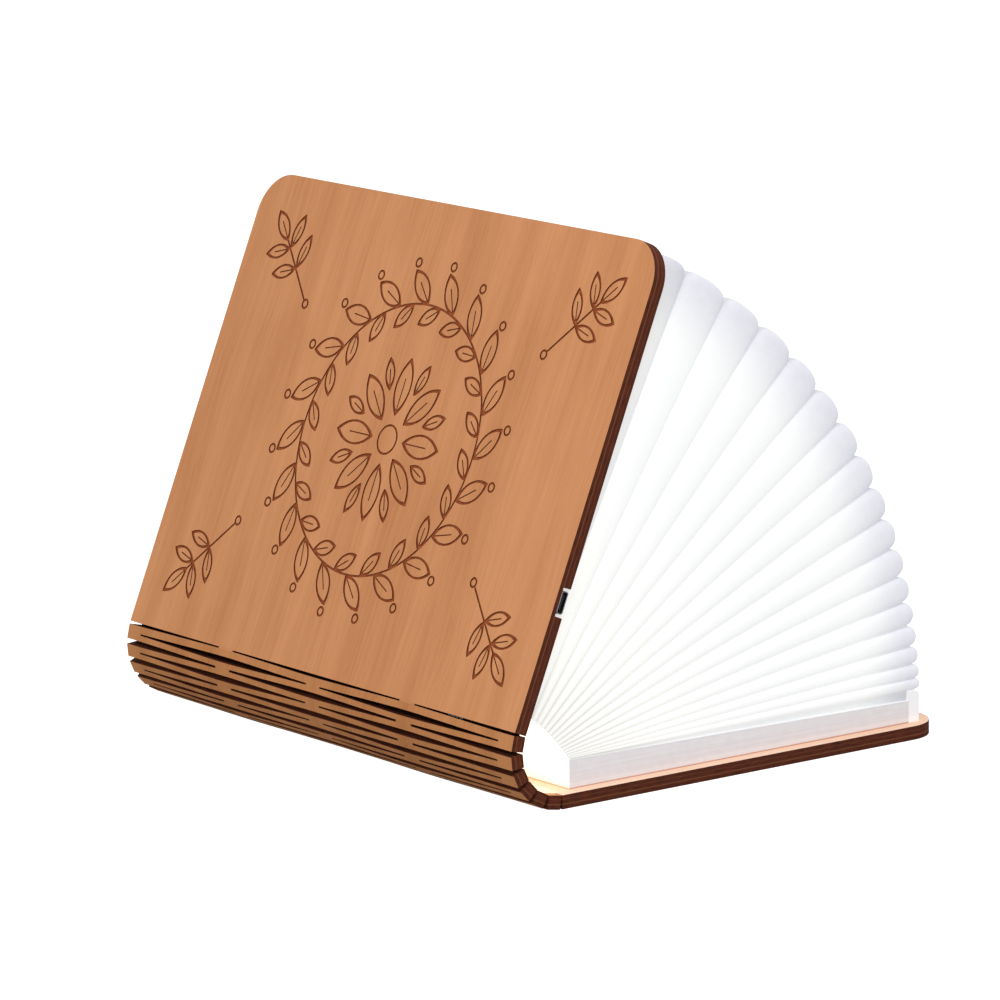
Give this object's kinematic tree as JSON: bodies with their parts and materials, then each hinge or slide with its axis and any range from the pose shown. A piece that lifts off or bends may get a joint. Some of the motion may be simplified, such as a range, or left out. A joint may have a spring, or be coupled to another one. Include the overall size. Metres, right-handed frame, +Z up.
{
  "type": "book lamp",
  "caption": "Half-open book-shaped lamp: wooden covers on a living-hinge spine, with a fan of white paper pages glowing from a slim light box.",
  "frame": {"origin": "centre of the back cover's underside, the face that rests on the table", "axes": "+X from the spine towards the fore-edge, +Y along the spine away from the charging socket's end, +Z up"},
  "size_m": [0.18, 0.215, 0.1753],
  "materials": {
    "outer_wood": "laser-cut plywood, warm tan, oiled",
    "inner_wood": "plywood, pale tan, bare",
    "paper": "matt white",
    "box_card": "matt pale grey",
    "light_band": "matt white, lit from behind",
    "diffuser": "frosted",
    "led_light": "lit",
    "steel": "bright tin plate",
    "magnet": "nickel plate",
    "black_plastic": "matt black",
    "circuit_board": "green solder mask",
    "cell_pouch": "satin pouch foil",
    "foam_pad": "adhesive foam",
    "wire": "insulated wire",
    "ribbon": "polyimide film"
  },
  "bodies": {
    "back_cover": {"back_face_sheet": "outer_wood", "back_core_board": "inner_wood", "back_magnets": "magnet", "light_box_tray": "box_card", "light_box_lid": "box_card", "light_diffuser": "diffuser", "light_box_end_fold": "paper", "battery_pad": "foam_pad", "battery_cell": "cell_pouch", "battery_leads": "wire", "driver_board": "circuit_board", "driver_chips": "black_plastic", "led_board": "circuit_board", "led_chips": "led_light", "led_leads": "wire", "back_end_paper": "paper", "core_band": "light_band", "charge_ribbon": "ribbon", "hinge_webs_1": "outer_wood", "page_01": "paper", "page_02": "paper"},
    "spine_strip_1": {"spine_strip_1": "outer_wood", "hinge_webs_2": "outer_wood", "page_03": "paper", "page_04": "paper", "page_05": "paper"},
    "spine_strip_2": {"spine_strip_2": "outer_wood", "hinge_webs_3": "outer_wood", "page_06": "paper", "page_07": "paper", "page_08": "paper"},
    "spine_strip_3": {"spine_strip_3": "outer_wood", "hinge_webs_4": "outer_wood", "page_09": "paper", "page_10": "paper", "page_11": "paper"},
    "spine_strip_4": {"spine_strip_4": "outer_wood", "hinge_webs_5": "outer_wood", "page_12": "paper", "page_13": "paper"},
    "spine_strip_5": {"spine_strip_5": "outer_wood", "hinge_webs_6": "outer_wood", "page_14": "paper", "page_15": "paper"},
    "spine_strip_6": {"spine_strip_6": "outer_wood", "hinge_webs_7": "outer_wood", "page_16": "paper"},
    "front_cover": {"front_face_sheet": "outer_wood", "front_core_board": "inner_wood", "front_magnets": "magnet", "charge_socket": "steel", "charge_socket_tongue": "black_plastic", "charge_board": "circuit_board", "charge_chips": "black_plastic", "front_end_paper": "paper", "page_17": "paper"}
  },
  "joints": [
    {"name": "spine_hinge_1", "type": "hinge", "parent": "back_cover", "child": "spine_strip_1", "pos_m": [-0.08063, 0, 0.0023], "axis": [0, -1, 0], "range_deg": [-5.62, 9.38], "deforming": ["hinge_webs_1", "page_01", "page_02", "page_03", "page_04", "page_05"]},
    {"name": "spine_hinge_2", "type": "hinge", "parent": "spine_strip_1", "child": "spine_strip_2", "pos_m": [-0.08615, 0, 0.00321], "axis": [0, -1, 0], "range_deg": [-11.25, 18.75], "deforming": ["hinge_webs_2", "page_06", "page_07", "page_08"]},
    {"name": "spine_hinge_3", "type": "hinge", "parent": "spine_strip_2", "child": "spine_strip_3", "pos_m": [-0.09109, 0, 0.00585], "axis": [0, -1, 0], "range_deg": [-11.25, 18.75], "deforming": ["hinge_webs_3", "page_09", "page_10", "page_11"]},
    {"name": "spine_hinge_4", "type": "hinge", "parent": "spine_strip_3", "child": "spine_strip_4", "pos_m": [-0.09492, 0, 0.00994], "axis": [0, -1, 0], "range_deg": [-11.25, 18.75], "deforming": ["hinge_webs_4", "page_12", "page_13", "core_band"]},
    {"name": "spine_hinge_5", "type": "hinge", "parent": "spine_strip_4", "child": "spine_strip_5", "pos_m": [-0.09723, 0, 0.01504], "axis": [0, -1, 0], "range_deg": [-11.25, 18.75], "deforming": ["hinge_webs_5", "page_14", "page_15", "charge_ribbon"]},
    {"name": "spine_hinge_6", "type": "hinge", "parent": "spine_strip_5", "child": "spine_strip_6", "pos_m": [-0.09778, 0, 0.02061], "axis": [0, -1, 0], "range_deg": [-11.25, 18.75], "deforming": ["hinge_webs_6", "page_16"]},
    {"name": "spine_hinge_7", "type": "hinge", "parent": "spine_strip_6", "child": "front_cover", "pos_m": [-0.09651, 0, 0.02607], "axis": [0, -1, 0], "range_deg": [-5.62, 9.38], "deforming": ["hinge_webs_7", "page_17"]}
  ],
  "couplings": [
    {"joint": "spine_hinge_1", "follows": "spine_hinge_7", "ratio": 1},
    {"joint": "spine_hinge_2", "follows": "spine_hinge_7", "ratio": 2},
    {"joint": "spine_hinge_3", "follows": "spine_hinge_7", "ratio": 2},
    {"joint": "spine_hinge_4", "follows": "spine_hinge_7", "ratio": 2},
    {"joint": "spine_hinge_5", "follows": "spine_hinge_7", "ratio": 2},
    {"joint": "spine_hinge_6", "follows": "spine_hinge_7", "ratio": 2}
  ]
}
